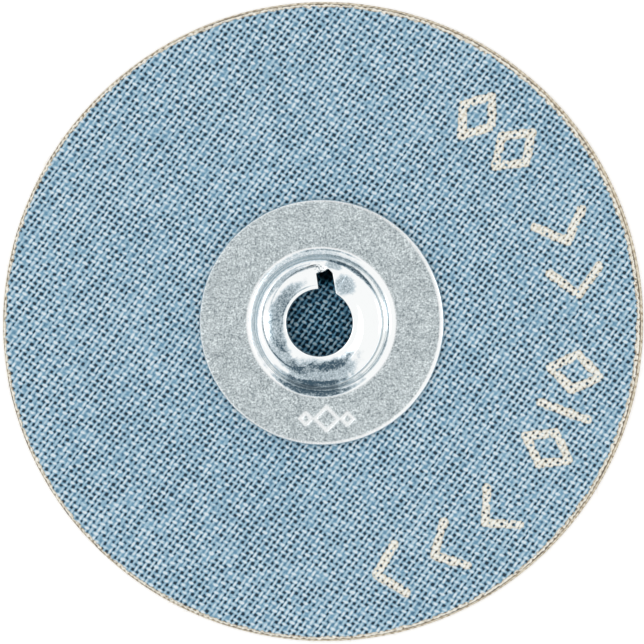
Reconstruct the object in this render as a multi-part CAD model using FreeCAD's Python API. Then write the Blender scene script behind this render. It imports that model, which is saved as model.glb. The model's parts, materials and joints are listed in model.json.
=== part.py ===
import FreeCAD, Part
import math
import os

from FreeCAD import Vector

# A 50 mm quick-change abrasive disc, lying on its grit side with the turn-on hub upwards.
# Millimetres. The origin is on the spin axis, in the plane of the working face. +Z points out of the hub.

# Bonded disc. Its cut edge leans in towards the back.
DISC_RADIUS = 25.0
BACK_RADIUS = 24.58
SIZE_COAT = 0.06
GRAIN_LAYER = 0.10
MAKE_COAT = 0.06
ABRASIVE_CLOTH = 0.70
LAMINATING_ADHESIVE = 0.10
REAR_CLOTH = 0.68

# Pressed hub
SHEET = 0.60
GLUE_LINE = 0.08
GLUE_INNER_RADIUS = 6.0
GLUE_OUTER_RADIUS = 9.3
CLOTH_DENT = 0.05
CLOTH_DENT_MARGIN = 0.06
FLANGE_RADIUS = 9.56
FLANGE_EDGE_ROUND = 0.22
DOME_HEIGHT = 1.90
DOME_BASE_RADIUS = 5.28
DOME_TOP_RADIUS = 4.91
DOME_BASE_ROUND = 0.60
DOME_TOP_ROUND = 0.60

# One-turn thread: the lip around the hole climbs anticlockwise from the notch, seen from the hub side,
# while the crease between it and the crest of the dome winds inwards. Its last few degrees are level.
HOLE_RADIUS = 2.60
CREASE_START_RADIUS = 4.60
CREASE_END_RADIUS = 3.30
LOW_DROP = 1.00
HIGH_DROP = 0.05
LIP_START_ANGLE = 91.0
LIP_END_ANGLE = 400.0
STEP_ANGLE = 86.0
SPIRAL_STEPS = 60

# Notch beside the hole, where the thread of the holder enters. Corners run anticlockwise.
NOTCH_CORNERS = [
    (1.36, 1.90, 0.0),
    (1.06, 3.84, 0.30),
    (0.70, 4.30, 0.22),
    (-0.26, 3.80, 0.10),
    (-0.02, 1.90, 0.0),
]

# Printed direction marks, soaked into the cloth back
MARK_RADIUS = 20.1
MARK_HEIGHT = 4.5
MARK_WIDTH = 3.4
MARK_STROKE = 0.62
MARK_THICKNESS = 0.04
DIAMOND_ANGLES = [53.0, 42.0, -11.0, -29.0]
CHEVRON_ANGLES = [21.0, 9.0, -48.0, -61.5, -75.0]
BAR_ANGLES = [-20.0]

UP = Vector(0, 0, 1)
LAYERS = [
    ("size_coat", SIZE_COAT),
    ("abrasive_grain", GRAIN_LAYER),
    ("make_coat", MAKE_COAT),
    ("abrasive_cloth", ABRASIVE_CLOTH),
    ("laminating_adhesive", LAMINATING_ADHESIVE),
    ("rear_cloth", REAR_CLOTH),
]
DISC_THICKNESS = sum(thickness for name, thickness in LAYERS)
DENT_FLOOR = DISC_THICKNESS - CLOTH_DENT
FLANGE_UNDERSIDE = DENT_FLOOR + GLUE_LINE
FLANGE_TOP = FLANGE_UNDERSIDE + SHEET
CREST = FLANGE_TOP + DOME_HEIGHT


def edge_radius(height):
    """Radius of the disc's leaning edge at a height above the working face."""
    return DISC_RADIUS + (BACK_RADIUS - DISC_RADIUS) * height / DISC_THICKNESS


def rounded_outline(corners, lift):
    """Closed wire through (x, y, rounding) corners, with an arc in each corner that has a rounding."""
    entries = []
    exits = []
    arcs = []
    count = len(corners)
    for index, (x, y, rounding) in enumerate(corners):
        here = lift(x, y)
        if rounding == 0:
            entries.append(here)
            exits.append(here)
            continue
        before = lift(*corners[index - 1][:2])
        after = lift(*corners[(index + 1) % count][:2])
        back = (before - here).normalize()
        ahead = (after - here).normalize()
        half_angle = back.getAngle(ahead) / 2
        reach = rounding / math.tan(half_angle)
        middle = (back + ahead).normalize()
        depth = rounding / math.sin(half_angle) - rounding
        entries.append(here + back * reach)
        exits.append(here + ahead * reach)
        arcs.append(Part.Arc(entries[-1], here + middle * depth, exits[-1]).toShape())
    sides = [Part.LineSegment(exits[i], entries[(i + 1) % count]).toShape() for i in range(count)]
    return Part.Wire(Part.__sortEdges__(sides + arcs))


def turned(corners):
    """Solid of revolution about +Z from (radius, height, rounding) corners."""
    face = Part.Face(rounded_outline(corners, lambda radius, height: Vector(radius, 0, height)))
    return face.revolve(Vector(0, 0, 0), UP, 360)


def wall_radius(height, inset):
    """Radius of the leaning dome wall at a height, measured inwards by an inset along the wall's normal."""
    lean = (DOME_BASE_RADIUS - DOME_TOP_RADIUS) / DOME_HEIGHT
    across = inset * math.sqrt(1 + lean * lean)
    return DOME_BASE_RADIUS - lean * (height - FLANGE_TOP) - across


def climb(angle):
    """Share of the climb that the thread lip has made at an angle in degrees."""
    return min(1.0, (angle - LIP_START_ANGLE) / (LIP_END_ANGLE - LIP_START_ANGLE))


def lip_drop(angle):
    """How far the thread lip lies below the crest at an angle in degrees."""
    return LOW_DROP + (HIGH_DROP - LOW_DROP) * climb(angle)


def lip_share(radius, angle):
    """1 at the hole, falling in a hollow curve to 0 at the crease and in a straight line beyond it."""
    crease = CREASE_START_RADIUS + (CREASE_END_RADIUS - CREASE_START_RADIUS) * climb(angle)
    across = (radius - HOLE_RADIUS) / (crease - HOLE_RADIUS)
    if across > 1:
        return 2.5 * (1 - across)
    return 1 - 0.25 * across - 0.75 * max(0.0, across) ** 3


def spiral_surface(height_at, radii):
    """Smooth surface over a ring, at a height given for each radius and angle.

    It runs for one turn from the step beside the notch, and one angle step further at both ends.
    """
    rows = []
    for step in range(-1, SPIRAL_STEPS + 2):
        angle = STEP_ANGLE + 360 * step / SPIRAL_STEPS
        turn = math.radians(angle)
        rows.append(
            [Vector(r * math.cos(turn), r * math.sin(turn), height_at(r, angle)) for r in radii]
        )
    surface = Part.BSplineSurface()
    surface.interpolate(rows)
    return surface


def half_turn_face(surface, half):
    """Half of a spiral surface, first or second, reaching one angle step past each end of it."""
    face = surface.copy()
    u_start, u_end, v_start, v_end = face.bounds()
    step = (u_end - u_start) / (SPIRAL_STEPS + 2)
    first = u_start + step * half * SPIRAL_STEPS / 2
    face.segment(first, first + step * (SPIRAL_STEPS / 2 + 2), v_start, v_end)
    return face.toShape()


def lip_top(radius, angle):
    return CREST - lip_drop(angle) * lip_share(radius, angle)


def lip_underside(radius, angle):
    return CREST - lip_drop(angle) - SHEET


def pressed_hub():
    """Domed steel pressing with a flat flange, a keyhole and a helical thread lip."""
    base = wall_radius(FLANGE_TOP, 0)
    top = wall_radius(CREST, 0)
    hub = turned(
        [
            (0, FLANGE_UNDERSIDE, 0),
            (FLANGE_RADIUS, FLANGE_UNDERSIDE, 0),
            (FLANGE_RADIUS, FLANGE_TOP, FLANGE_EDGE_ROUND),
            (base, FLANGE_TOP, DOME_BASE_ROUND),
            (top, CREST, DOME_TOP_ROUND),
            (0, CREST, 0),
        ]
    )
    inside = turned(
        [
            (0, FLANGE_UNDERSIDE - SHEET, 0),
            (DISC_RADIUS, FLANGE_UNDERSIDE - SHEET, 0),
            (DISC_RADIUS, FLANGE_UNDERSIDE, 0),
            (wall_radius(FLANGE_UNDERSIDE, SHEET), FLANGE_UNDERSIDE, DOME_BASE_ROUND + SHEET),
            (wall_radius(CREST, SHEET), CREST, 0),
            (0, CREST, 0),
        ]
    )
    pocket_radii = [1.5 + 0.1 * step for step in range(32)]
    ceiling_radii = [1.5 + 0.7 * step for step in range(8)]
    top_surface = spiral_surface(lip_top, pocket_radii)
    underside_surface = spiral_surface(lip_underside, ceiling_radii)
    halves = []
    for half in (0, 1):
        above = half_turn_face(top_surface, half).extrude(UP * CREST)
        below = half_turn_face(underside_surface, half).extrude(UP * -CREST)
        side = Part.makeBox(2 * DISC_RADIUS, DISC_RADIUS, 2 * CREST, Vector(-DISC_RADIUS, 0, 0))
        side.rotate(Vector(0, 0, 0), UP, STEP_ANGLE + 180 * half)
        halves.append(hub.common(side).cut(above).cut(below.common(inside)))
    hub = halves[0].fuse(halves[1])
    hole = Part.makeCylinder(HOLE_RADIUS, 2 * CREST)
    notch = Part.Face(rounded_outline(NOTCH_CORNERS, lambda x, y: Vector(x, y, 0)))
    hub = hub.cut(notch.extrude(UP * 2 * CREST))
    return hub.cut(hole).removeSplitter()


def glue_ring():
    foot = Vector(0, 0, DENT_FLOOR)
    ring = Part.makeCylinder(GLUE_OUTER_RADIUS, GLUE_LINE, foot)
    return ring.cut(Part.makeCylinder(GLUE_INNER_RADIUS, GLUE_LINE, foot))


def disc_layer(bottom, thickness):
    return Part.makeCone(
        edge_radius(bottom), edge_radius(bottom + thickness), thickness, Vector(0, 0, bottom)
    )


def stroke(start, end):
    """Flat printed stroke with round ends."""
    along = (end - start).normalize()
    side = Vector(-along.y, along.x, 0) * (MARK_STROKE / 2)
    tip = along * (MARK_STROKE / 2)
    edges = [
        Part.LineSegment(start + side, end + side).toShape(),
        Part.Arc(end + side, end + tip, end - side).toShape(),
        Part.LineSegment(end - side, start - side).toShape(),
        Part.Arc(start - side, start - tip, start + side).toShape(),
    ]
    return Part.Face(Part.Wire(edges)).extrude(UP * MARK_THICKNESS)


def diamond_mark():
    """Hollow diamond, longer outwards than sideways."""
    out = Vector((MARK_HEIGHT - MARK_STROKE) / 2, 0, 0)
    side = Vector(0, (MARK_WIDTH - MARK_STROKE) / 2, 0)
    sides = [stroke(out, side), stroke(side, -out), stroke(-out, -side), stroke(-side, out)]
    return sides[0].multiFuse(sides[1:]).removeSplitter()


def chevron_mark():
    """Open arrowhead pointing clockwise, seen from the hub side."""
    half = (MARK_HEIGHT - MARK_STROKE) / 2
    tip = Vector(0, -half / 2, 0)
    outer = stroke(Vector(half, half / 2, 0), tip)
    return outer.fuse(stroke(Vector(-half, half / 2, 0), tip))


def bar_mark():
    half = (MARK_HEIGHT - MARK_STROKE) / 2
    return stroke(Vector(-half, 0, 0), Vector(half, 0, 0))


def printed_marks():
    marks = []
    for make, angles in [
        (diamond_mark, DIAMOND_ANGLES),
        (chevron_mark, CHEVRON_ANGLES),
        (bar_mark, BAR_ANGLES),
    ]:
        for angle in angles:
            mark = make()
            mark.translate(Vector(MARK_RADIUS, 0, DISC_THICKNESS - MARK_THICKNESS))
            mark.rotate(Vector(0, 0, 0), UP, angle)
            marks.append(mark)
    return Part.makeCompound(marks)


def save(name, shape):
    assert shape.isValid(), name
    shape.exportStep("parts/" + name + ".step")
    box = shape.BoundBox
    print(f"{name:22s} solids {len(shape.Solids)}  volume {shape.Volume:9.3f}  z {box.ZMin:.3f} to {box.ZMax:.3f}")


def cloth_back(layer, marks):
    """The rear cloth with the dent that the pressed-on hub leaves, and room for the soaked-in ink."""
    dent_radius = FLANGE_RADIUS + CLOTH_DENT_MARGIN
    return layer.cut(Part.makeCylinder(dent_radius, GLUE_LINE, Vector(0, 0, DENT_FLOOR))).cut(marks)


os.makedirs("parts", exist_ok=True)
marks = printed_marks()
height = 0.0
for name, thickness in LAYERS:
    layer = disc_layer(height, thickness)
    save(name, cloth_back(layer, marks) if name == "rear_cloth" else layer)
    height += thickness
save("hub_adhesive", glue_ring())
save("mounting_hub", pressed_hub())
save("printed_marking", marks)
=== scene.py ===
import json
import math

import bpy
import numpy as np
from mathutils import Matrix, Vector

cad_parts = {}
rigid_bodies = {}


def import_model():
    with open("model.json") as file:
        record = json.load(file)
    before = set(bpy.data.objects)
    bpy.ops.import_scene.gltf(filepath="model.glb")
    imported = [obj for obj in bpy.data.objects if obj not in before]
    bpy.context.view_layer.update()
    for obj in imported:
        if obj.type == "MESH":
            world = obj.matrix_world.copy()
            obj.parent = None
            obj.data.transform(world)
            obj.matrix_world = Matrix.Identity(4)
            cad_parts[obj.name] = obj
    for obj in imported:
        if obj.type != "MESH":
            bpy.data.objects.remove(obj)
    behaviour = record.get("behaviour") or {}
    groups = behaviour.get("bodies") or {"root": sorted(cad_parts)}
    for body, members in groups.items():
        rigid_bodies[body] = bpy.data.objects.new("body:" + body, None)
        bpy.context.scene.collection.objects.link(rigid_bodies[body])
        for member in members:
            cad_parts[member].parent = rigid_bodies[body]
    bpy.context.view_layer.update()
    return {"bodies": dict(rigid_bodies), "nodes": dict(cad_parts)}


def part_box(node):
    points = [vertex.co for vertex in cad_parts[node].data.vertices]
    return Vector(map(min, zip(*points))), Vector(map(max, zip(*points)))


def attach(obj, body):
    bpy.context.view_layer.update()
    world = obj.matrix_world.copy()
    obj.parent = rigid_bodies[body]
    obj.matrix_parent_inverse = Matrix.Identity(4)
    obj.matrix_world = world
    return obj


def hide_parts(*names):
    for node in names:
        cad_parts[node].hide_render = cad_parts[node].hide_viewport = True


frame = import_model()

BODY = next(iter(frame["bodies"]))
MM = 0.001

# Cloth: a plain weave, turned clockwise on the disc. Warp threads lie in pairs.
WARP_PITCH = 0.4115
WEFT_PITCH = 0.4585
WARP_DIRECTION = math.radians(55.0)
WEFT_DIRECTION = math.radians(-33.84)
PAIRING = 0.058
WARP_HALF_WIDTH = 0.31
WEFT_HALF_WIDTH = 0.31
RELIEF = 0.185
HUB_DENT = 0.05
# Points round an edge, and how far the coats' edges lie inside the cloth's
EDGE_POINTS = 2800
COAT_INSET = 0.16

# The cut outline is a little long on one side
LONG_SIDE = 0.36
LONG_DIRECTION = math.radians(195.0)

# Printed marks, as on the CAD part
MARK_RADIUS = 20.1
MARK_HEIGHT = 4.5
MARK_WIDTH = 3.4
MARK_STROKE = 0.62
DIAMOND_ANGLES = [53.0, 42.0, -11.0, -29.0]
CHEVRON_ANGLES = [21.0, 9.0, -48.0, -61.5, -75.0]
BAR_ANGLES = [-20.0]

# Hub pressing, as on the CAD part
SHEET = 0.60
FLANGE_EDGE_ROUND = 0.22
DOME_HEIGHT = 1.90
DOME_BASE_RADIUS = 5.28
DOME_TOP_RADIUS = 4.91
DOME_BASE_ROUND = 0.60
DOME_TOP_ROUND = 0.60
HOLE_RADIUS = 2.60
CREASE_START_RADIUS = 4.60
CREASE_END_RADIUS = 3.30
LOW_DROP = 1.00
HIGH_DROP = 0.05
LIP_START_ANGLE = 91.0
LIP_END_ANGLE = 400.0
# The third and fourth corners follow the torn burr, which the CAD part leaves out
NOTCH_CORNERS = [
    (1.36, 1.90, 0.0),
    (1.06, 3.84, 0.30),
    (0.71, 4.22, 0.16),
    (0.42, 3.98, 0.12),
    (-0.26, 3.80, 0.10),
    (-0.02, 1.90, 0.0),
]
# Directions in degrees that the notch's inner corners look out to
NOTCH_LOOKS = [433.0, 441.0, 448.0, 456.0]
NOTCH_MIDDLE = (0.35, 4.0)
BURR_PLACE = (0.10, 4.22)
STAMP_PLACE = (0.42, -7.50)


def heights(node):
    """Lowest and highest z of a CAD node, in millimetres."""
    low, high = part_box(node)
    return low.z / MM, high.z / MM


FACE_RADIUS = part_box("size_coat")[1].x / MM
CLOTH_BOTTOM, CLOTH_TOP = heights("rear_cloth")
CLOTH_BOTTOM_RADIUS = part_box("rear_cloth")[1].x / MM
FLANGE_UNDERSIDE, CREST = heights("mounting_hub")
FLANGE_TOP = FLANGE_UNDERSIDE + SHEET
FLANGE_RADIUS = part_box("mounting_hub")[1].x / MM


def edge_radius(height):
    """Radius of the disc's leaning edge at a height."""
    return FACE_RADIUS + (CLOTH_BOTTOM_RADIUS - FACE_RADIUS) * height / CLOTH_BOTTOM


# ---------------------------------------------------------------- repeatable randomness


def dice(i, j, seed):
    """A repeatable random number from -1 to 1 for each pair of whole numbers."""
    i = np.asarray(i).astype(np.int64)
    j = np.asarray(j).astype(np.int64)
    mixed = (i * 374761393 + j * 668265263 + seed * 144269504) & 0xFFFFFFFF
    mixed = ((mixed ^ (mixed >> 13)) * 1274126177) & 0xFFFFFFFF
    return ((mixed ^ (mixed >> 16)) & 0xFFFF) / 32767.5 - 1


def patches(x, y, size, seed):
    """Smooth random field from -1 to 1 with patches of about the given size."""
    u = np.asarray(x) / size
    v = np.asarray(y) / size
    i = np.floor(u)
    j = np.floor(v)
    s = eased(u - i)
    t = eased(v - j)
    low = dice(i, j, seed) * (1 - s) + dice(i + 1, j, seed) * s
    high = dice(i, j + 1, seed) * (1 - s) + dice(i + 1, j + 1, seed) * s
    return low * (1 - t) + high * t


def wander(along, size, seed):
    """Smooth random curve from -1 to 1 along a line."""
    return patches(along, 0 * along, size, seed)


def eased(share):
    """0 to 1 with level ends."""
    share = np.clip(share, 0, 1)
    return share * share * (3 - 2 * share)


def between(value, start, end):
    """Eased share of the way from start to end."""
    return eased((value - start) / (end - start))


# ---------------------------------------------------------------- building pieces


class Solid:
    """Points and faces gathered while a closed piece is built, in millimetres."""

    def __init__(self):
        self.points = []
        self.faces = []
        self.count = 0

    def add(self, x, y, z):
        """Adds points and returns their numbers."""
        block = np.stack(np.broadcast_arrays(x, y, z), axis=-1).reshape(-1, 3).astype(float)
        self.points.append(block)
        self.count += len(block)
        return np.arange(self.count - len(block), self.count)

    def bridge(self, ring, following):
        """Quads from one closed ring to the next, which lies to the left of travel seen from outside."""
        self.faces.append(np.stack([ring, np.roll(ring, -1), np.roll(following, -1), following], axis=1))

    def cap(self, ring, centre):
        """Triangles from a closed ring to a middle point."""
        middle = np.full(len(ring), centre)
        self.faces.append(np.stack([ring, np.roll(ring, -1), middle], axis=1))

    def stack(self, high, rings, low):
        """Flat top, a wall of (x, y, z) rings from the top down, and a flat bottom."""
        top_middle = self.add([0.0], [0.0], [high])
        rings = [self.add(*ring) for ring in rings]
        self.cap(rings[0], top_middle[0])
        for upper, lower in zip(rings, rings[1:]):
            self.bridge(lower, upper)
        bottom_middle = self.add([0.0], [0.0], [low])
        self.cap(rings[-1][::-1], bottom_middle[0])

    def piece(self, name, material, lengthened=True, **facts):
        """Makes the mesh object. facts are number arrays, one value per point, for the material."""
        points = np.concatenate(self.points)
        if lengthened:
            points = lengthen(points)
        corners = np.concatenate([faces.ravel() for faces in self.faces])
        sizes = np.concatenate([np.full(len(faces), faces.shape[1]) for faces in self.faces])
        mesh = bpy.data.meshes.new(name)
        mesh.vertices.add(len(points))
        mesh.vertices.foreach_set("co", (points * MM).astype(np.float32).ravel())
        mesh.loops.add(len(corners))
        mesh.loops.foreach_set("vertex_index", corners.astype(np.int32))
        mesh.polygons.add(len(sizes))
        starts = np.concatenate([[0], np.cumsum(sizes)[:-1]])
        mesh.polygons.foreach_set("loop_start", starts.astype(np.int32))
        mesh.update(calc_edges=True)
        mesh.shade_smooth()
        for fact, values in facts.items():
            data = mesh.attributes.new(fact, "FLOAT", "POINT").data
            data.foreach_set("value", np.asarray(values, np.float32))
        mesh.materials.append(material)
        obj = bpy.data.objects.new(name, mesh)
        bpy.context.scene.collection.objects.link(obj)
        return obj


def lengthen(points):
    """Moves points outwards on the long side of the cut, most at the edge and not at all under the hub."""
    radius = np.hypot(points[:, 0], points[:, 1])
    facing = np.cos(np.arctan2(points[:, 1], points[:, 0]) - LONG_DIRECTION)
    reach = LONG_SIDE * between(radius, FLANGE_RADIUS, FACE_RADIUS) * np.maximum(facing, 0) ** 2
    direction = np.array([math.cos(LONG_DIRECTION), math.sin(LONG_DIRECTION), 0])
    return points + reach[:, None] * direction


def ring_points(radius, angles):
    """x and y at a radius and at angles in radians."""
    return radius * np.cos(angles), radius * np.sin(angles)


# ---------------------------------------------------------------- weave


def thread_place(warp, weft):
    """Point on the disc for thread coordinates: whole numbers are thread centre lines."""
    drift_warp = PAIRING * np.cos(math.pi * warp) + 0.09 * patches(warp, weft / 14, 1, 1)
    drift_warp = drift_warp + 0.05 * patches(warp, weft / 1.6, 1, 9)
    drift_weft = 0.07 * patches(warp / 14, weft, 1, 2) + 0.05 * patches(warp / 1.6, weft, 1, 10)
    across_warp = (warp + drift_warp + 0.3 * patches(warp, weft, 30, 3)) * WARP_PITCH
    across_weft = (weft + drift_weft + 0.3 * patches(warp, weft, 30, 4)) * WEFT_PITCH
    # each family is spaced square to its own direction
    ax, ay = math.sin(WARP_DIRECTION), -math.cos(WARP_DIRECTION)
    bx, by = -math.sin(WEFT_DIRECTION), math.cos(WEFT_DIRECTION)
    size = ax * by - ay * bx
    return (across_warp * by - across_weft * ay) / size, (across_weft * ax - across_warp * bx) / size


def thread_coordinates(x, y):
    """Thread coordinates near a point, leaving out the small drifts."""
    warp = (x * math.sin(WARP_DIRECTION) - y * math.cos(WARP_DIRECTION)) / WARP_PITCH
    weft = (-x * math.sin(WEFT_DIRECTION) + y * math.cos(WEFT_DIRECTION)) / WEFT_PITCH
    return warp, weft


def rounded(offset, half_width):
    """Rounded thread section: 1 on the centre line, 0 at the half width."""
    return np.clip(1 - (offset / half_width) ** 2, 0, 1) ** 0.75


def weave(warp, weft):
    """Height of the cloth above its holes from 0 to 1, and 1 where the warp lies on top."""
    i = np.round(warp)
    j = np.round(weft)
    u = warp - i
    v = weft - j
    warp_over = np.where((i + j) % 2 == 0, 1.0, -1.0)
    sway = -0.03 * np.sin(math.pi * u) * warp_over
    body_warp = rounded(u, WARP_HALF_WIDTH + 0.07 * patches(i * 7.3, weft, 2, 5))
    body_weft = rounded(v - sway, WEFT_HALF_WIDTH + 0.07 * patches(warp, j * 7.3, 2, 6))
    lift = 0.09 * dice(i, j, 7)
    warp_height = 0.28 + 0.44 * body_warp + (0.16 + lift) * warp_over * np.cos(math.pi * v)
    weft_height = 0.22 + 0.44 * body_weft - (0.28 + lift) * warp_over * np.cos(math.pi * u)
    # one ply of the twisted weft thread stands up aslant on each crown
    along = u * WARP_PITCH
    aside = (v - sway) * WEFT_PITCH
    tilt = math.radians(24)
    lobe = np.exp(
        -(((along * math.cos(tilt) + aside * math.sin(tilt)) / 0.17) ** 2)
        - (((aside * math.cos(tilt) - along * math.sin(tilt)) / 0.075) ** 2)
    )
    weft_height = weft_height + 0.10 * lobe * (warp_over < 0)
    warp_height = np.where(body_warp > 0, warp_height, 0)
    weft_height = np.where(body_weft > 0, weft_height, 0)
    hole = np.floor(warp), np.floor(weft)
    filled = between(dice(*hole, 8), 0.2, 1.0) * 0.42
    height = np.maximum(np.maximum(warp_height, weft_height), filled)
    return height, (warp_height > weft_height).astype(float)


def thread_grid(lines, radius):
    """Grid that follows the threads, cut to a round edge.

    Gives thread coordinates, places, quads and the edge's points in order of angle.
    """
    reach = int(radius / min(WARP_PITCH, WEFT_PITCH) * 1.15) + 3
    ticks = (np.arange(-reach, reach)[:, None] + np.array(lines)[None, :]).ravel()
    warp, weft = np.meshgrid(ticks, ticks, indexing="ij")
    x, y = thread_place(warp, weft)
    number = np.arange(warp.size).reshape(warp.shape)
    quads = np.stack([number[:-1, :-1], number[1:, :-1], number[1:, 1:], number[:-1, 1:]], axis=-1)
    quads = quads.reshape(-1, 4)
    warp, weft, x, y = warp.ravel(), weft.ravel(), x.ravel(), y.ravel()
    middle = np.hypot(x[quads].mean(axis=1), y[quads].mean(axis=1))
    quads = quads[middle < radius]
    uses = np.bincount(quads.ravel(), minlength=len(x))
    edge = (uses > 0) & (uses < 4)
    stretch = radius / np.hypot(x[edge], y[edge])
    x[edge] *= stretch
    y[edge] *= stretch
    kept = uses > 0
    renumber = np.cumsum(kept) - 1
    rim = np.flatnonzero(edge)
    rim = rim[np.argsort(np.arctan2(y[rim], x[rim]))]
    return warp[kept], weft[kept], x[kept], y[kept], renumber[quads], renumber[rim]


def yarn_ends(x, y, share):
    """Bulge from 0 to 1 of the cut yarns on the disc's edge.

    share runs from 0 to 1 up the cloth's thickness.
    """
    warp, weft = thread_coordinates(x, y)
    radius = np.hypot(x, y)
    facing_warp = np.abs(x * math.cos(WARP_DIRECTION) + y * math.sin(WARP_DIRECTION)) / radius
    facing_weft = np.abs(x * math.cos(WEFT_DIRECTION) + y * math.sin(WEFT_DIRECTION)) / radius
    i = np.round(warp)
    j = np.round(weft)
    rise = 0.16 * np.cos(math.pi * warp) * np.cos(math.pi * weft)
    warp_end = rounded(warp - i, 0.42) * rounded(share - 0.5 - rise, 0.38) * (0.4 + 0.6 * facing_warp)
    weft_end = rounded(weft - j, 0.42) * rounded(share - 0.5 + rise, 0.38) * (0.4 + 0.6 * facing_weft)
    return np.maximum(warp_end, weft_end)


def cloth_edge(solid, ring, bottom, rows, seed):
    """Cut edge of a cloth below a ring of points.

    Gives the lowest ring and a paleness for each row's points, which is painted lighter on the yarn ends
    and darker, as painted shade, in some gaps.
    """
    start = np.concatenate(solid.points)[ring]
    angles = np.arctan2(start[:, 1], start[:, 0])
    along = angles * FACE_RADIUS
    paleness = []
    for row in range(1, rows + 1):
        share = 1 - row / rows
        z = start[:, 2] * share + bottom * (1 - share)
        radius = edge_radius(z)
        x, y = ring_points(radius, angles)
        ends = yarn_ends(x, y, share)
        if row < rows:
            fluff = 0.03 * patches(along, z, 0.13, seed) + 0.02 * patches(along, z, 0.6, seed + 1)
            x, y = ring_points(radius + 0.12 * ends - 0.06 + fluff, angles)
        lower = solid.add(x, y, z)
        solid.bridge(lower, ring)
        # painted shade: a dark gap beside some of the yarn ends, and painted light on the ends that stand
        # out
        place = along / WEFT_PITCH
        painted_gap_shade = np.exp(-(((place % 1 - 0.5) / 0.13) ** 2))
        painted_gap_shade = painted_gap_shade * between(dice(np.floor(place), 0, seed + 3), 0.6, 0.7)
        paleness.append(0.50 + 0.2 * ends + 0.12 * wander(along, 0.5, seed + 2) - 0.5 * painted_gap_shade)
        ring = lower
    return ring, paleness


# ---------------------------------------------------------------- materials


def srgb(red, green, blue):
    """Linear colour from the 0 to 255 values of a display."""
    return tuple(
        c / 12.92 if c <= 0.04045 else ((c + 0.055) / 1.055) ** 2.4
        for c in (red / 255, green / 255, blue / 255)
    ) + (1.0,)


class Nodes:
    """A material under construction."""

    def __init__(self, name):
        self.material = bpy.data.materials.new(name)
        self.material.use_nodes = True
        self.tree = self.material.node_tree
        self.tree.nodes.clear()
        self.place = self.add("TexCoord", "Object")

    def node(self, kind, sockets, **settings):
        node = self.tree.nodes.new("ShaderNode" + kind)
        for key, value in settings.items():
            setattr(node, key, value)
        for key, value in sockets.items():
            if isinstance(value, bpy.types.NodeSocket):
                self.tree.links.new(value, node.inputs[key])
            else:
                node.inputs[key].default_value = value
        return node

    def add(self, kind, output, sockets=None, **settings):
        return self.node(kind, sockets or {}, **settings).outputs[output]

    def fact(self, name):
        """Value that the piece carries at its points."""
        return self.add("Attribute", "Fac", attribute_name=name)

    def noise(self, size, detail, roughness, vector=None):
        """Noise from 0 to 1 with features of a size in millimetres."""
        sockets = {"Vector": vector or self.place, "Scale": 1 / (size * MM)}
        return self.add("TexNoise", "Fac", {**sockets, "Detail": detail, "Roughness": roughness})

    def stretched(self, size, direction):
        """Object coordinates scaled so that noise of 1 mm has the given (along, across, up) size."""
        turned = self.add("Mapping", "Vector", {"Vector": self.place, "Rotation": (0, 0, -direction)})
        return self.add("Mapping", "Vector", {"Vector": turned, "Scale": tuple(1 / s for s in size)})

    def calculate(self, operation, first, second, third=0.0, clamp=False):
        sockets = {0: first, 1: second, 2: third}
        return self.add("Math", 0, sockets, operation=operation, use_clamp=clamp)

    def scaled(self, value, factor, addend):
        return self.calculate("MULTIPLY_ADD", value, factor, addend)

    def between(self, value, start, end):
        return self.add("MapRange", "Result", {"Value": value, "From Min": start, "From Max": end})

    def ramp(self, value, stops):
        node = self.node("ValToRGB", {"Fac": value})
        elements = node.color_ramp.elements
        elements[0].position, elements[0].color = stops[0]
        elements[1].position, elements[1].color = stops[-1]
        for position, colour in stops[1:-1]:
            elements.new(position).color = colour
        return node.outputs["Color"]

    def blend(self, share, first, second, kind="MIX"):
        node = self.node("Mix", {0: share, 6: first, 7: second}, data_type="RGBA", blend_type=kind)
        return node.outputs[2]

    def bump(self, height, distance, strength):
        sockets = {"Height": height, "Distance": distance * MM, "Strength": strength}
        return self.add("Bump", "Normal", sockets)

    def finish(self, **sockets):
        """Ends the material with a Principled surface. Socket names are written with _ for a space."""
        named = {key.replace("_", " "): value for key, value in sockets.items()}
        shader = self.node("BsdfPrincipled", named)
        self.node("OutputMaterial", {"Surface": shader.outputs[0]})
        return self.material


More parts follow.
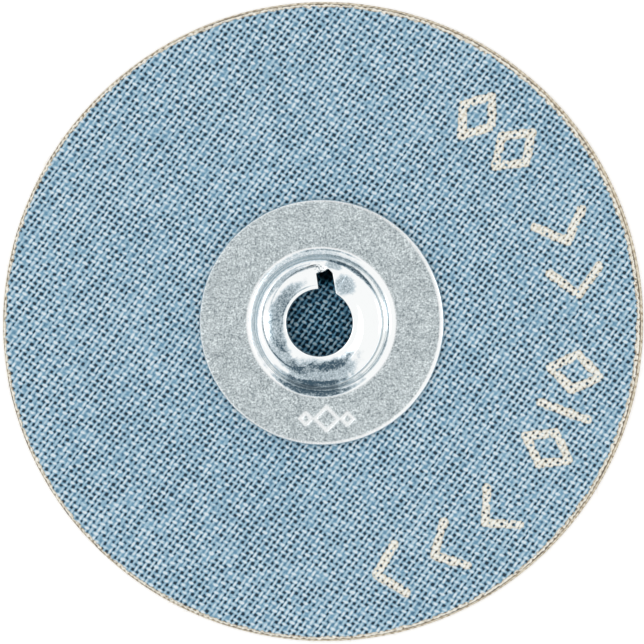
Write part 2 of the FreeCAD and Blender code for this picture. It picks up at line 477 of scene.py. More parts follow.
def cloth_back_material():
    """Blue resin-filled cloth with pale crowns and dark holes, partly its own colour and partly a painted
    highlight and painted shade, a cream cut edge, and painted shade under the hub.
    """
    m = Nodes("blue_cloth")
    height = m.fact("height")
    over = m.fact("warp_over")
    cream = m.fact("cream")
    warp_fibre = m.noise(1.0, 2, 0.6, m.stretched((0.35, 0.035, 0.2), WARP_DIRECTION))
    weft_fibre = m.noise(1.0, 2, 0.6, m.stretched((0.30, 0.035, 0.2), WEFT_DIRECTION + math.radians(20)))
    fibre = m.add("Mix", 0, {0: over, 2: weft_fibre, 3: warp_fibre}, data_type="FLOAT")
    patch = m.noise(0.24, 3, 0.7)
    wide = m.noise(6.0, 3, 0.55)
    shade = m.scaled(fibre, 0.56, m.calculate("SUBTRACT", height, 0.28))
    shade = m.scaled(patch, 0.34, m.calculate("SUBTRACT", shade, 0.17))
    shade = m.scaled(wide, 0.12, m.calculate("SUBTRACT", shade, 0.06))
    # painted shade under the dome: the tone is spread there so that only the crowns stay pale, as if only
    # they caught the light
    painted_shade_amount = m.fact("shaded")
    tone_in_painted_shade = m.scaled(painted_shade_amount, m.scaled(shade, 1.75, -1.17), shade)
    # from dark holes to pale crowns: darker resin and paler fibre, and also painted shade in the holes and
    # a painted highlight on the crowns
    blue = m.ramp(
        tone_in_painted_shade,
        [
            (0.10, srgb(30, 52, 66)),
            (0.27, srgb(61, 99, 124)),
            (0.46, srgb(109, 153, 179)),
            (0.66, srgb(152, 184, 201)),
            (0.94, srgb(212, 223, 229)),
        ],
    )
    # the cut edge's colour: pale cotton, and dark brown as painted shade where its paleness is low
    tuft = m.scaled(m.noise(0.09, 3, 0.7), 0.6, m.scaled(height, 0.6, -0.16))
    cut = m.ramp(
        tuft,
        [
            (0.24, srgb(96, 84, 66)),
            (0.36, srgb(172, 158, 132)),
            (0.48, srgb(222, 218, 205)),
            (0.70, srgb(238, 236, 228)),
        ],
    )
    stained = m.blend(m.between(cream, 0.10, 0.45), blue, srgb(172, 156, 132))
    colour = m.blend(m.between(cream, 0.45, 0.70), stained, cut)
    # painted shade: the colour is darkened and turned bluish under the dome, less on the crowns
    crowns = m.between(tone_in_painted_shade, 0.82, 1.25)
    painted_shade_dimming = m.calculate("MULTIPLY_ADD", crowns, -0.38, painted_shade_amount, clamp=True)
    colour = m.blend(painted_shade_dimming, colour, (0.14, 0.42, 0.55, 1), "MULTIPLY")
    normal = m.bump(fibre, 0.02, 0.7)
    # painted shadow: near black inside the notch
    painted_notch_shadow = m.calculate("SUBTRACT", painted_shade_amount, 1.0, clamp=True)
    colour = m.blend(painted_notch_shadow, colour, (0.001, 0.004, 0.006, 1))
    # the sheen is lowered under the painted shade too
    gleam = m.calculate("MULTIPLY_ADD", painted_shade_amount, -0.34, 0.35, clamp=True)
    return m.finish(Base_Color=colour, Roughness=0.55, Normal=normal, Specular_IOR_Level=gleam)


def cut_cloth_material(name, pale, dark):
    """Undyed cotton at a cut edge, lighter where the yarn ends bulge and darker in the gaps between them:
    painted light and shade.
    """
    m = Nodes(name)
    tuft = m.noise(0.10, 4, 0.7)
    bulge = m.fact("bulge")
    shade = m.scaled(bulge, 0.36, m.scaled(tuft, 0.7, 0.04))
    stops = [(0.10, srgb(104, 92, 72)), (0.24, dark), (0.46, pale), (0.85, srgb(240, 238, 228))]
    normal = m.bump(tuft, 0.04, 0.8)
    return m.finish(Base_Color=m.ramp(shade, stops), Roughness=0.8, Normal=normal, Specular_IOR_Level=0.25)


def resin_material(name, dark, pale, roughness, size=0.5):
    """Cured adhesive or coat with cloudy colour and small pits."""
    m = Nodes(name)
    cloud = m.noise(size, 4, 0.7)
    pits = m.noise(0.08, 3, 0.6)
    colour = m.ramp(cloud, [(0.3, dark), (0.7, pale)])
    gloss = m.scaled(pits, 0.3, roughness)
    return m.finish(Base_Color=colour, Roughness=gloss, Normal=m.bump(pits, 0.02, 0.6))


def ink_material():
    """Cream printing ink, brownish where it thins out beside the holes."""
    m = Nodes("cream_ink")
    height = m.fact("height")
    mottle = m.noise(0.12, 4, 0.7)
    shade = m.scaled(mottle, 0.35, m.calculate("SUBTRACT", height, 0.17))
    colour = m.ramp(
        shade,
        [
            (0.28, srgb(120, 108, 90)),
            (0.46, srgb(196, 189, 172)),
            (0.62, srgb(226, 225, 216)),
            (0.90, srgb(238, 238, 232)),
        ],
    )
    thin = m.calculate("MULTIPLY", m.fact("fringe"), mottle)
    colour = m.blend(thin, colour, srgb(192, 178, 154))
    normal = m.bump(mottle, 0.015, 0.6)
    return m.finish(Base_Color=colour, Roughness=0.6, Normal=normal, Specular_IOR_Level=0.3)


def steel_material():
    """Zinc-bright pressed steel: speckled and matt, or bright where polished, with frosted patches and
    painted reflections darkening the polished colour.
    """
    m = Nodes("zinc_steel")
    polish = m.fact("polish")
    frost_and_painted_dark = m.fact("frost_and_painted_dark")
    speckle = m.noise(0.21, 3, 0.65)
    fine = m.noise(0.10, 1, 0.5)
    grain = m.noise(0.28, 3, 0.6)
    stain = m.noise(1.6, 4, 0.6)
    cloudy = m.scaled(m.noise(0.7, 2, 0.5), 0.20, -0.10)
    speck = m.scaled(fine, 0.6, m.scaled(speckle, 0.7, cloudy))
    matt = m.ramp(
        speck,
        [
            (0.42, srgb(108, 119, 124)),
            (0.64, srgb(181, 190, 193)),
            (0.86, srgb(234, 241, 242)),
        ],
    )
    mottle = m.scaled(speck, 2.6, -1.69)
    shade = m.scaled(mottle, m.calculate("MULTIPLY", frost_and_painted_dark, 1.2, clamp=True), frost_and_painted_dark)
    # polished colour from bright to dark grey-blue: frosting, and painted reflections of darker
    # surroundings
    bright = m.ramp(
        shade,
        [
            (0.0, srgb(250, 252, 252)),
            (0.30, srgb(199, 212, 219)),
            (0.62, srgb(156, 170, 177)),
            (1.0, srgb(68, 90, 104)),
        ],
    )
    colour = m.blend(polish, matt, bright)
    rough = m.scaled(grain, 0.12, 0.40)
    smooth = m.scaled(frost_and_painted_dark, 0.30, m.scaled(stain, 0.08, 0.08))
    roughness = m.add("Mix", 0, {0: polish, 2: rough, 3: smooth}, data_type="FLOAT")
    pits = m.scaled(speckle, 0.6, m.calculate("MULTIPLY", grain, 0.4))
    depth = m.scaled(m.calculate("SUBTRACT", polish, frost_and_painted_dark, clamp=True), -0.9, 1.0)
    normal = m.bump(pits, 0.018, depth)
    return m.finish(Base_Color=colour, Metallic=1.0, Roughness=roughness, Normal=normal)


def grit_material(name):
    """Dark silicon carbide grains under a clear size coat."""
    m = Nodes(name)
    facet = m.add("TexVoronoi", "Color", {"Vector": m.place, "Scale": 1 / (0.085 * MM)})
    sparkle = m.add("SeparateColor", 0, {0: facet})
    cloud = m.noise(1.2, 4, 0.6)
    stops = [(0.0, srgb(26, 27, 30)), (0.75, srgb(66, 68, 72)), (0.97, srgb(150, 154, 160))]
    haze = m.calculate("MULTIPLY", cloud, 0.5)
    colour = m.blend(haze, m.ramp(sparkle, stops), srgb(58, 52, 48))
    return m.finish(Base_Color=colour, Roughness=0.42, Normal=m.bump(sparkle, 0.03, 0.8))


# ---------------------------------------------------------------- disc pieces


def rear_cloth():
    """Woven back of the disc, with its cut edge."""
    solid = Solid()
    cut_radius = edge_radius(CLOTH_TOP)
    lines = [-1 / 3, -1 / 6, 0, 1 / 6, 1 / 3, 1 / 2]
    warp, weft, x, y, quads, rim = thread_grid(lines, cut_radius)
    height, over = weave(warp, weft)
    radius = np.hypot(x, y)
    droop = 0.10 * between(radius, cut_radius - 0.25, cut_radius)
    z = surface_height(height, radius) - droop
    ragged = 0.07 * patches(x[rim], y[rim], 0.17, 23) + 0.12 * (height[rim] - 0.6)
    x[rim] *= 1 + ragged / radius[rim]
    y[rim] *= 1 + ragged / radius[rim]
    solid.add(x, y, z)
    solid.faces.append(quads)
    frayed = radius + 0.10 * patches(x, y, 0.22, 21) + 0.05 * patches(x, y, 0.7, 25)
    cream = between(frayed + 0.08 * (height - 0.6), cut_radius - 0.08, cut_radius + 0.04)
    ring, edge_heights = cloth_edge(solid, rim, CLOTH_BOTTOM, 7, 22)
    middle = solid.add([0.0], [0.0], [CLOTH_BOTTOM])
    solid.cap(ring[::-1], middle[0])
    spare = solid.count - len(x)
    crowns = 0.14 * dice(np.round(warp), np.round(weft), 24) * between(height, 0.5, 0.9)
    # painted shade under the dome, and a painted near-black shadow below the notch
    from_notch = np.hypot(x - NOTCH_MIDDLE[0], y - NOTCH_MIDDLE[1])
    shaded = 0.80 * (1 - between(radius, 4.6, 5.4)) + 1.15 * (1 - between(from_notch, 0.6, 1.3))
    return solid.piece(
        "rear_cloth_weave",
        cloth_back_material(),
        shaded=np.concatenate([shaded, np.zeros(spare)]),
        height=np.concatenate([height + crowns, *edge_heights, [0.6]]),
        warp_over=np.concatenate([over, np.zeros(spare)]),
        cream=np.concatenate([cream, np.ones(spare)]),
    )


def surface_height(height, radius):
    """Height of the cloth's surface, pressed down a little under the hub."""
    dent = HUB_DENT * (1 - between(radius, FLANGE_RADIUS - 0.1, FLANGE_RADIUS + 0.12))
    return CLOTH_TOP - RELIEF * (1 - height) - dent


def distance_to_stroke(x, y, start, end):
    """Distance from points to a straight stroke's centre line."""
    along = np.array(end) - np.array(start)
    share = ((x - start[0]) * along[0] + (y - start[1]) * along[1]) / (along @ along)
    share = np.clip(share, 0, 1)
    return np.hypot(x - start[0] - share * along[0], y - start[1] - share * along[1])


def distance_to_marks(x, y):
    """Distance outside the edge of the nearest printed mark; negative on a mark."""
    nearest = np.full(x.shape, 9.0)
    half = (MARK_HEIGHT - MARK_STROKE) / 2
    half_wide = (MARK_WIDTH - MARK_STROKE) / 2
    tip = (0.0, -half / 2)
    for angles, kind in [(DIAMOND_ANGLES, "diamond"), (CHEVRON_ANGLES, "chevron"), (BAR_ANGLES, "bar")]:
        for angle in angles:
            turn = math.radians(angle)
            out = x * math.cos(turn) + y * math.sin(turn) - MARK_RADIUS
            side = y * math.cos(turn) - x * math.sin(turn)
            if kind == "diamond":
                away = distance_to_stroke(np.abs(out), np.abs(side), (half, 0.0), (0.0, half_wide))
            elif kind == "chevron":
                away = np.minimum(
                    distance_to_stroke(out, side, (half, half / 2), tip),
                    distance_to_stroke(out, side, (-half, half / 2), tip),
                )
            else:
                away = distance_to_stroke(out, side, (-half, 0.0), (half, 0.0))
            nearest = np.minimum(nearest, away - MARK_STROKE / 2)
    return nearest


def open_edges(quads, count):
    """Edges that only one quad uses, in that quad's direction."""
    edges = np.concatenate([quads[:, [k, (k + 1) % 4]] for k in range(4)])
    forward = edges[:, 0].astype(np.int64) * count + edges[:, 1]
    backward = edges[:, 1].astype(np.int64) * count + edges[:, 0]
    return edges[~np.isin(forward, backward)]


def compacted(quads, count):
    """The points that quads use, out of a count, and the quads with those points numbered anew."""
    used = np.unique(quads)
    renumber = np.zeros(count, int)
    renumber[used] = np.arange(len(used))
    return used, renumber[quads]


def printed_marks():
    """Ink film on the threads' crowns, open over the holes."""
    cells = 12
    film = 0.008
    depth = 0.03
    lines = [(k + 0.5) / cells - 0.5 for k in range(cells)]
    warp, weft, x, y, quads, _ = thread_grid(lines, MARK_RADIUS + MARK_HEIGHT)
    near = distance_to_marks(x[quads[:, 0]], y[quads[:, 0]]) < 0.2
    used, quads = compacted(quads[near], len(x))
    warp, weft, x, y = warp[used], weft[used], x[used], y[used]
    height, _ = weave(warp, weft)
    edge = distance_to_marks(x, y) - 0.05 + 0.05 * patches(x, y, 0.16, 31) + 0.05 * patches(x, y, 0.5, 32)
    hole = np.hypot(warp - np.floor(warp) - 0.5, weft - np.floor(weft) - 0.5)
    open_hole = 0.14 + 0.08 * dice(np.floor(warp), np.floor(weft), 33) + 0.04 * patches(x, y, 0.1, 34)
    inked = (edge < 0) & ((hole > open_hole) | (height > 0.5))
    quads = quads[inked[quads].all(axis=1)]
    # where two corners of the film only touch, both are left out
    for _ in range(3):
        touching = np.bincount(open_edges(quads, len(x)).ravel(), minlength=len(x)) > 2
        quads = quads[~touching[quads].any(axis=1)]
    used, quads = compacted(quads, len(x))
    x, y = x[used], y[used]
    fringe = between(edge[used], -0.16, -0.03)
    height = np.maximum(height[used], 0.50)
    z = surface_height(height, np.hypot(x, y))
    solid = Solid()
    solid.add(x, y, z + film)
    under = solid.add(x, y, z - depth)
    solid.faces.append(quads)
    solid.faces.append(quads[:, ::-1] + under[0])
    rim = open_edges(quads, len(x))
    solid.faces.append(np.concatenate([rim[:, ::-1], rim + under[0]], axis=1))
    facts = {"height": np.concatenate([height, height]), "fringe": np.concatenate([fringe, fringe])}
    return solid.piece("direction_marks_ink", ink_material(), **facts)


def edge_angles():
    """Directions of the points round an edge."""
    return np.linspace(-math.pi, math.pi, EDGE_POINTS, endpoint=False)


def edge_band(name, node, material, rows, inset, bulge):
    """Flat round layer whose edge has relief. bulge(x, y, share, distance round) is in millimetres."""
    low, high = heights(node)
    angles = edge_angles()
    rings = []
    facts = [np.zeros(1)]
    for row in range(rows + 1):
        share = 1 - row / rows
        z = low + (high - low) * share
        x, y = ring_points(edge_radius(z), angles)
        stand = bulge(x, y, share, angles * FACE_RADIUS) * (0 < row < rows)
        x, y = ring_points(edge_radius(z) - inset + stand, angles)
        rings.append((x, y, z))
        facts.append(stand)
    facts.append(np.zeros(1))
    solid = Solid()
    solid.stack(high, rings, low)
    return solid.piece(name, material, bulge=np.concatenate(facts) / 0.1)


def abrasive_cloth():
    """Second cloth, whose cut edge is outermost."""

    def bulge(x, y, share, along):
        fluff = 0.03 * patches(along, share * 0.7, 0.13, 41)
        return 0.10 * yarn_ends(x, y, share) - 0.05 + fluff

    material = cut_cloth_material("undyed_cotton", srgb(214, 206, 188), srgb(166, 150, 122))
    return edge_band("abrasive_cloth_edge", "abrasive_cloth", material, 8, 0.0, bulge)


def frayed_fibres():
    """Fine fibre ends that stand out of the cut edge, the first of them long and loose."""
    solid = Solid()
    steps = 10
    count = 120
    tone = []
    for index in range(count):
        long = index == 0
        chance = dice(index, np.arange(7), 91)
        angle = math.radians(-29.3) if long else math.pi * chance[0]
        length = 1.9 if long else 0.22 + 0.42 * chance[1] ** 2
        z = 0.3 + (CLOTH_TOP - 0.5) * (0.5 + 0.5 * chance[2])
        heading = angle + 1.5 * math.copysign(1, chance[3]) * (1 - 0.5 * abs(chance[3]))
        x, y = ring_points(edge_radius(z) - 0.03, angle)
        thickness = 0.012 + 0.004 * chance[4]
        rings = []
        for step in range(steps + 1):
            share = step / steps
            side = Vector((-math.sin(heading), math.cos(heading)))
            taper = thickness * (1 - 0.6 * share)
            around = np.arange(4) * math.pi / 2
            across = taper * np.cos(around)
            ring = solid.add(x + side.x * across, y + side.y * across, z + taper * np.sin(around))
            rings.append(ring)
            heading += (0.9 * chance[5] + 1.2 * chance[6] * share) / steps
            x += math.cos(heading) * length / steps
            y += math.sin(heading) * length / steps
            z += 0.10 * chance[4] * length / steps
        for near, far in zip(rings, rings[1:]):
            solid.bridge(near, far)
        for ring, turned in [(rings[0], -1), (rings[-1], 1)]:
            solid.faces.append(ring[None, ::turned])
        tone.append(np.full(4 * (steps + 1), chance[2]))
    material = cut_cloth_material("loose_fibre", srgb(226, 221, 206), srgb(184, 170, 142))
    return solid.piece("frayed_fibres", material, bulge=np.concatenate(tone) * 0.2 + 0.1)


def laminating_adhesive():
    """Glue line squeezed out unevenly between the two cloths."""
    low, high = heights("laminating_adhesive")
    rows = 10
    inset = 0.4
    angles = edge_angles()
    along = angles * FACE_RADIUS
    thick = 0.17 + 0.07 * wander(along, 0.8, 51) + 0.05 * wander(along, 0.3, 52)
    middle = (low + high) / 2 + 0.09 * wander(along, 1.3, 53) + 0.05 * wander(along, 0.45, 54)
    proud = 0.03 + 0.03 * wander(along, 0.6, 55)
    rings = [(*ring_points(edge_radius(high) - inset, angles), high)]
    for row in range(rows + 1):
        turn = math.pi * (0.5 - row / rows)
        z = middle + thick * math.sin(turn)
        x, y = ring_points(edge_radius(z) - 0.08 + (0.08 + proud) * math.cos(turn), angles)
        rings.append((x, y, z))
    rings.append((*ring_points(edge_radius(low) - inset, angles), low))
    solid = Solid()
    solid.stack(high, rings, low)
    material = resin_material("brown_adhesive", srgb(30, 27, 24), srgb(150, 133, 104), 0.35, 1.6)
    return solid.piece("laminating_adhesive_line", material)


def grit_layer():
    """Bed of grains; only its rough edge shows."""

    def bulge(x, y, share, along):
        return 0.05 * patches(along, share * 0.1, 0.06, 61)

    material = grit_material("grain_edge")
    return edge_band("silicon_carbide_grain", "abrasive_grain", material, 3, COAT_INSET, bulge)


def make_coat():
    """Resin film that holds the grains; its edge lies behind the cloth's."""

    def bulge(x, y, share, along):
        return 0.03 * patches(along, share * 0.1, 0.1, 62)

    material = resin_material("make_resin", srgb(74, 56, 40), srgb(120, 92, 62), 0.25)
    return edge_band("make_resin_film", "make_coat", material, 2, COAT_INSET, bulge)


def size_coat():
    """Working face: grain tips under the size coat, with the cloth's weave showing faintly through."""
    low, high = heights("size_coat")
    solid = Solid()
    lines = [-1 / 3, 0, 1 / 3]
    warp, weft, x, y, quads, rim = thread_grid(lines, edge_radius(low) - COAT_INSET)
    height, _ = weave(warp, weft)
    tips = 0.5 + 0.5 * patches(x, y, 0.09, 71)
    rough = 0.5 + 0.5 * patches(x, y, 0.4, 72)
    z = low + (high - low) * (0.75 - 0.25 * height - 0.35 * tips - 0.15 * rough)
    solid.add(x, y, z)
    solid.faces.append(quads[:, ::-1])
    ring = solid.add(x[rim], y[rim], high)
    solid.bridge(rim, ring)
    middle = solid.add([0.0], [0.0], [high])
    solid.cap(ring, middle[0])
    return solid.piece("size_coat_face", grit_material("coated_grit"))


# ---------------------------------------------------------------- hub


def rounded_outline(corners, spacing):
    """Points along straight runs and corner arcs, from (x, y, rounding) corners."""
    points = []
    count = len(corners)
    for index, (x, y, rounding) in enumerate(corners):
        here = Vector((x, y))
        if rounding == 0:
            points.append(here)
            continue
        before = (Vector(corners[index - 1][:2]) - here).normalized()
        after = (Vector(corners[(index + 1) % count][:2]) - here).normalized()
        half_angle = before.angle(after) / 2
        reach = rounding / math.tan(half_angle)
        centre = here + (before + after).normalized() * rounding / math.sin(half_angle)
        start = here + before * reach - centre
        sweep = start.angle_signed(here + after * reach - centre)
        steps = max(3, round(abs(sweep) * rounding / spacing))
        for step in range(steps + 1):
            points.append(centre + Matrix.Rotation(-sweep * step / steps, 2) @ start)
    dense = [points[0]]
    for point in points[1:]:
        steps = max(1, round((point - dense[-1]).length / spacing))
        last = dense[-1]
        dense += [last.lerp(point, (step + 1) / steps) for step in range(steps)]
    return np.array([tuple(point) for point in dense])


DOME_LEAN = (DOME_BASE_RADIUS - DOME_TOP_RADIUS) / DOME_HEIGHT


def wall_radius(height, inset):
    """Radius of the leaning dome wall at a height. The inset goes inwards, square to the wall."""
    outside = DOME_BASE_RADIUS - DOME_LEAN * (height - FLANGE_TOP)
    return outside - inset * math.sqrt(1 + DOME_LEAN * DOME_LEAN)


def climb(angle):
    """Share of the climb that the thread lip has made at an angle in degrees, from 60 to 420."""
    return np.clip((angle - LIP_START_ANGLE) / (LIP_END_ANGLE - LIP_START_ANGLE), 0, 1)


def lip_drop(angle):
    """How far the thread lip lies below the crest. Beside the notch a short bend joins its two ends."""
    turn = LOW_DROP + (HIGH_DROP - LOW_DROP) * climb(angle)
    bend = HIGH_DROP + (LOW_DROP - HIGH_DROP) * between(angle, 80.0, 92.0)
    return np.where(angle < LIP_START_ANGLE, bend, turn)


def crease_radius(angle):
    """Radius of the crease where the lip meets the dome's top."""
    return CREASE_START_RADIUS + (CREASE_END_RADIUS - CREASE_START_RADIUS) * climb(angle)


def lip_share(radius, angle):
    """1 at the hole, falling in a hollow curve to 0 at the crease."""
    across = np.clip((radius - HOLE_RADIUS) / (crease_radius(angle) - HOLE_RADIUS), 0, 1)
    return 1 - 0.25 * across - 0.75 * across**3


def lip_angle(x, y):
    """Angle in degrees from 60 to 420, counted round the lip from the notch."""
    angle = np.degrees(np.arctan2(y, x)) % 360
    return np.where(angle < 60.0, angle + 360, angle)


def keyhole():
    """Outline of the hole with its notch, anticlockwise, and the angle that each point looks out to."""
    notch = rounded_outline(NOTCH_CORNERS, 0.035)
    notch = notch[np.hypot(*notch.T) > HOLE_RADIUS]
    start = math.atan2(notch[-1][1], notch[-1][0])
    end = math.atan2(notch[0][1], notch[0][0]) + 2 * math.pi
    # points stand closer beside the notch, and opposite it, where the ornament is
    share = np.linspace(0, 1, 420)[1:-1]
    angles = start + (end - start) * (share - 0.3 * np.sin(4 * math.pi * share) / (4 * math.pi))
    x, y = np.concatenate([np.stack(ring_points(HOLE_RADIUS, angles), axis=1), notch]).T
    run = np.concatenate([[0], np.cumsum(np.hypot(np.diff(x), np.diff(y)))])

    def run_at(px, py):
        return run[np.argmin(np.hypot(x - px, y - py))]

    anchors = [(run[0], 108.0)]
    for angle, look in [(135.0, 135.0), (20.0, 380.0)]:
        anchors.append((run_at(*ring_points(HOLE_RADIUS, math.radians(angle))), look))
    anchors.append((run_at(*notch[0]), 409.0))
    for corner, look in zip(NOTCH_CORNERS[1:], NOTCH_LOOKS):
        anchors.append((run_at(*corner[:2]), look))
    closing = math.hypot(x[0] - x[-1], y[0] - y[-1])
    anchors.append((run[-1] + closing, 468.0))
    known, looks = zip(*anchors)
    return x, y, np.radians(np.interp(run, known, looks))


def stamp_relief(x, y):
    """Coined ornament on the flange, a diamond between two small ones: its hollows and its raised lips."""
    large, small, spacing = 0.92, 0.46, 1.62
    out = np.abs(x - STAMP_PLACE[0])
    side = np.abs(y - STAMP_PLACE[1])
    middle = distance_to_stroke(out, side, (large, 0.0), (0.0, large))
    beside = distance_to_stroke(np.abs(out - spacing), side, (small, 0.0), (0.0, small))
    away = np.minimum(middle, beside)
    return 1 - between(away, 0.09, 0.19), np.exp(-(((away - 0.24) / 0.06) ** 2))


# Patches on the dome, partly frosting that forming left and partly painted reflections, the dark bands low
# down and the bluish arcs among them: the middle's angle and radius, half of the angle and of the width
# that the patch covers, and its strength
FROST_AND_PAINTED_REFLECTION_PATCHES = [
    (170.0, 3.40, 58.0, 0.62, 0.62),
    (226.0, 3.86, 34.0, 0.50, 0.42),
    (274.0, 3.86, 46.0, 1.05, 0.52),
    (290.0, 3.44, 34.0, 0.46, 0.46),
    (55.0, 3.50, 14.0, 0.90, 0.48),
    (56.0, 4.90, 30.0, 0.16, 0.85),
    (75.0, 4.62, 9.0, 0.34, 0.42),
    (32.0, 5.28, 62.0, 0.10, 0.38),
    (332.0, 5.30, 42.0, 0.09, 0.30),
    (138.0, 5.22, 92.0, 0.54, 0.27),
    (128.0, 4.38, 34.0, 0.20, 0.40),
    (142.0, 2.93, 52.0, 0.06, 0.50),
    (82.0, 5.68, 30.0, 0.05, 0.55),
    (262.0, 5.54, 42.0, 0.27, 0.95),
    (262.0, 4.78, 38.0, 0.28, 0.78),
    (262.0, 5.20, 40.0, 0.30, 0.34),
]

# Two fine dark lines painted on the dome's top where its reflection bands meet: angles, radii along them
# and how dark they are
PAINTED_BAND_EDGES = [
    (
        [98, 110, 150, 180, 210, 240, 252, 262, 270],
        [4.62, 4.61, 4.51, 4.39, 4.24, 4.06, 3.60, 3.05, 2.8],
        [0.2, 0.45, 0.45, 0.7, 1.0, 0.7, 0.6, 0.5, 0],
    ),
    ([98, 105, 130, 160, 175], [4.38, 4.37, 4.22, 4.02, 3.95], [0, 0.4, 0.35, 0.3, 0]),
]


def frost_and_painted_reflections(x, y):
    """How frosted the dome's skin is, with painted reflections and painted dark lines added, from 0,
    bright, to about 1, dark grey.
    """
    angle = np.degrees(np.arctan2(y, x)) % 360
    radius = np.hypot(x, y)
    drift = 0.45 * patches(x, y, 0.55, 84) + 0.25 * patches(x, y, 0.22, 85)
    total = 0.0
    for middle, far, half_angle, half_width, strength in FROST_AND_PAINTED_REFLECTION_PATCHES:
        turn = (angle - middle + 180) % 360 - 180
        away = np.hypot(turn / half_angle, (radius - far) / half_width)
        total = total + strength * (1 - between(away + 0.3 * drift, 0.60, 1.12))
    for angles, radii, strengths in PAINTED_BAND_EDGES:
        strength = np.interp(angle, angles, strengths, 0, 0)
        off_line = radius - np.interp(angle, angles, radii)
        total = total + strength * np.exp(-((off_line / 0.045) ** 2))
    return total


def mounting_hub():
    """Domed steel pressing with a flat flange, a keyhole and a helical thread lip."""
    hx, hy, look = keyhole()
    count = len(hx)
    solid = Solid()
    polish = []
    frost_and_painted_dark = []

    def ring(x, y, z, shine, dull_and_painted_dark):
        polish.append(np.broadcast_to(shine, (count,)))
        frost_and_painted_dark.append(np.broadcast_to(dull_and_painted_dark, (count,)))
        return solid.add(x, y, z)

    def lip_underside(x, y):
        return CREST - lip_drop(lip_angle(x, y)) - SHEET

    # radius at which the flat top turns into the dome's rounded shoulder
    tangent = DOME_TOP_RADIUS - DOME_TOP_ROUND * math.tan((math.pi / 2 - math.atan(DOME_LEAN)) / 2)

    def top(x, y, inward):
        """Height of the outer skin, from the hole's edge to the shoulder of the dome."""
        radius = np.hypot(x, y)
        angle = lip_angle(x, y)
        shoulder = DOME_TOP_ROUND - np.sqrt(DOME_TOP_ROUND**2 - np.maximum(radius - tangent, 0) ** 2)
        z = CREST - np.maximum(lip_drop(angle) * lip_share(radius, angle), shoulder)
        burr = np.exp(-((np.hypot(x - BURR_PLACE[0], y - BURR_PLACE[1]) / 0.30) ** 2))
        z = z + burr * (0.06 + 0.10 * patches(x, y, 0.12, 81))
        crease = np.exp(-(((radius - crease_radius(angle) + 0.02) / 0.05) ** 2))
        z = z - 0.07 * crease * between(angle, 98, 112) * (1 - between(angle, 225, 262))
        # the punched edge of the hole is drawn down in a small round
        shear = 0.10
        sag = shear - np.sqrt(np.maximum(shear**2 - np.maximum(shear - inward, 0) ** 2, 0))
        return z - sag - 0.006 * patches(x, y, 0.35, 82)

    shoulder_radius = tangent + 0.32
    # heights at which the dome's inner wall ends and the lip's underside takes over
    wall_end = 2.58
    lip_foot = 2.70
    ox, oy = ring_points(shoulder_radius, look)
    span = np.hypot(ox - hx, oy - hy)
    rows = []
    wall_steps = 4
    for step in range(wall_steps):
        share = step / wall_steps
        z = lip_underside(hx, hy) * (1 - share) + top(hx, hy, 0) * share
        rows.append(ring(hx, hy, z, 0.7, 0.3))
    loft_steps = 42
    for step in range(loft_steps):
        share = (step / loft_steps) ** 1.1
        x = hx + (ox - hx) * share
        y = hy + (oy - hy) * share
        rows.append(ring(x, y, top(x, y, span * share), 1.0, frost_and_painted_reflections(x, y)))
    above = rounded_outline(
        [
            (tangent, CREST, 0),
            (DOME_TOP_RADIUS, CREST, DOME_TOP_ROUND),
            (DOME_BASE_RADIUS, FLANGE_TOP, DOME_BASE_ROUND),
            (FLANGE_RADIUS, FLANGE_TOP, FLANGE_EDGE_ROUND),
            (FLANGE_RADIUS, FLANGE_TOP - 0.3, 0),
        ],
        0.065,
    )
    below = rounded_outline(
        [
            (FLANGE_RADIUS, FLANGE_TOP - 0.4, 0),
            (FLANGE_RADIUS, FLANGE_UNDERSIDE, 0.05),
            (wall_radius(FLANGE_UNDERSIDE, SHEET), FLANGE_UNDERSIDE, DOME_BASE_ROUND + SHEET),
            (wall_radius(wall_end, SHEET), wall_end, 0),
        ],
        0.3,
    )
    outer = np.concatenate([above[np.argmax(above[:, 0] > shoulder_radius + 0.01):], below])
    for radius, z in outer:
        x, y = ring_points(radius, look)
        strokes, lips = stamp_relief(x, y)
        on_flange = z > FLANGE_TOP - 0.01 and radius > DOME_BASE_RADIUS + 0.6
        relief = (0.015 * lips - 0.05 * strokes) * on_flange
        burnished = 1 - between(radius, DOME_BASE_RADIUS + 0.50, DOME_BASE_RADIUS + 0.66)
        # the flange's rounded edge is polished, and a painted highlight follows it on two sides, wider on
        # one of them, towards the lower right
        facing = np.cos(look + math.radians(20))
        edge_start = FLANGE_RADIUS - 0.26 - 0.12 * facing
        edge = between(radius, edge_start, edge_start + 0.12) * (0.5 + 0.5 * np.abs(facing))
        shine = np.maximum(burnished + edge, 0.8 * strokes * on_flange)
        rows.append(ring(x, y, np.full(count, z) + relief, shine, frost_and_painted_reflections(x, y)))
    inner_steps = 10
    ix, iy = ring_points(wall_radius(lip_foot, SHEET), look)
    for step in range(inner_steps):
        share = 1 - step / inner_steps
        x = hx + (ix - hx) * share
        y = hy + (iy - hy) * share
        rows.append(ring(x, y, lip_underside(x, y), 0.5, 0.5))
    for lower, upper in zip(rows, rows[1:] + rows[:1]):
        solid.bridge(upper, lower)
    facts = {"polish": np.concatenate(polish), "frost_and_painted_dark": np.concatenate(frost_and_painted_dark)}
    return solid.piece("mounting_hub_pressing", steel_material(), lengthened=False, **facts)


# ---------------------------------------------------------------- the object


def belongs(piece, node):
    """Ties a piece to the body and hides the CAD node that it stands for."""
    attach(piece, BODY)
    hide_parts(node)
    return piece


back = belongs(rear_cloth(), "rear_cloth")
belongs(printed_marks(), "printed_marking")
front = belongs(abrasive_cloth(), "abrasive_cloth")
glue = belongs(laminating_adhesive(), "laminating_adhesive")
belongs(grit_layer(), "abrasive_grain")
belongs(size_coat(), "size_coat")
belongs(mounting_hub(), "mounting_hub")
film = belongs(make_coat(), "make_coat")
fibres = belongs(frayed_fibres(), "rear_cloth")

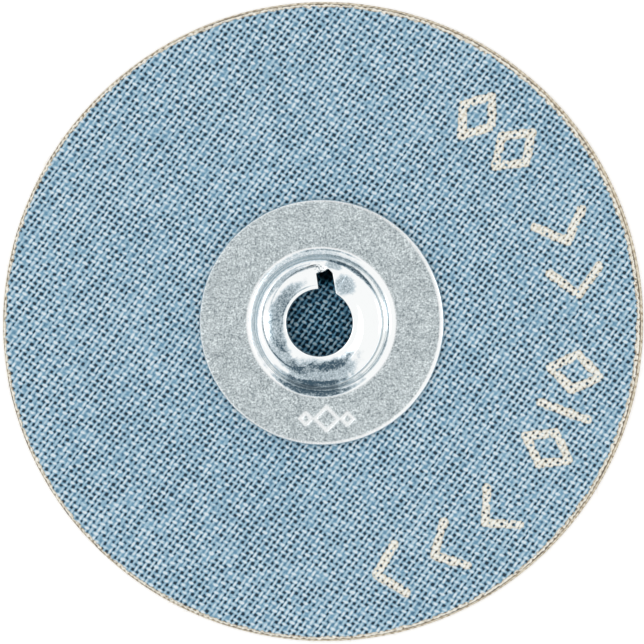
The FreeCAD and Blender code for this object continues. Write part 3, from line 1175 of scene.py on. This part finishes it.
hub_glue = resin_material("hub_glue", srgb(150, 138, 112), srgb(196, 184, 158), 0.4)
frame["nodes"]["hub_adhesive"].data.materials.clear()
frame["nodes"]["hub_adhesive"].data.materials.append(hub_glue)

# ---------------------------------------------------------------- studio


def studio():
    """Pale floor, even white sky and two soft lamps."""
    mesh = bpy.data.meshes.new("studio_floor")
    half = 4.0
    corners = [(-half, -half, 0), (half, -half, 0), (half, half, 0), (-half, half, 0)]
    mesh.from_pydata(corners, [], [(0, 1, 2, 3)])
    floor = bpy.data.objects.new("studio_floor", mesh)
    bpy.context.scene.collection.objects.link(floor)
    glow = {"Emission_Color": (1, 1, 1, 1), "Emission_Strength": 0.35}
    material = Nodes("pale_floor").finish(Base_Color=(0.8, 0.8, 0.8, 1), Roughness=0.9, **glow)
    mesh.materials.append(material)
    world = bpy.data.worlds.new("studio_world")
    bpy.context.scene.world = world
    world.use_nodes = True
    background = world.node_tree.nodes["Background"]
    background.inputs["Color"].default_value = (1, 1, 1, 1)
    background.inputs["Strength"].default_value = 0.98

    for name, place, size, radiance in [
        ("right", (0.55, 0.06, 0.22), 0.30, 1.4),
        ("left", (-0.42, 0.06, 0.42), 0.36, 0.9),
    ]:
        light = bpy.data.lights.new(name, "AREA")
        light.shape = "SQUARE"
        light.size = size
        light.energy = radiance * math.pi * size * size
        lamp = bpy.data.objects.new(name, light)
        lamp.location = place
        lamp.rotation_euler = (-lamp.location).to_track_quat("-Z", "Y").to_euler()
        bpy.context.scene.collection.objects.link(lamp)


def camera():
    """Nearly straight down, tipped a little towards the right and the top."""
    distance = 0.60
    tilt = math.radians(5.8)
    toward = math.radians(12)
    data = bpy.data.cameras.new("camera")
    data.sensor_width = 36
    data.lens = 429.5
    eye = bpy.data.objects.new("camera", data)
    bpy.context.scene.collection.objects.link(eye)
    target = Vector((-0.00017, -0.00002, 0.0))
    back = Vector((*ring_points(math.sin(tilt), toward), math.cos(tilt)))
    right = Vector((0, 1, 0)).cross(back).normalized()
    up = back.cross(right)
    turned = Matrix((right, up, back)).transposed().to_4x4()
    eye.matrix_world = Matrix.Translation(target + back * distance) @ turned
    bpy.context.scene.camera = eye


studio()
camera()
bpy.context.scene.view_settings.view_transform = "Standard"
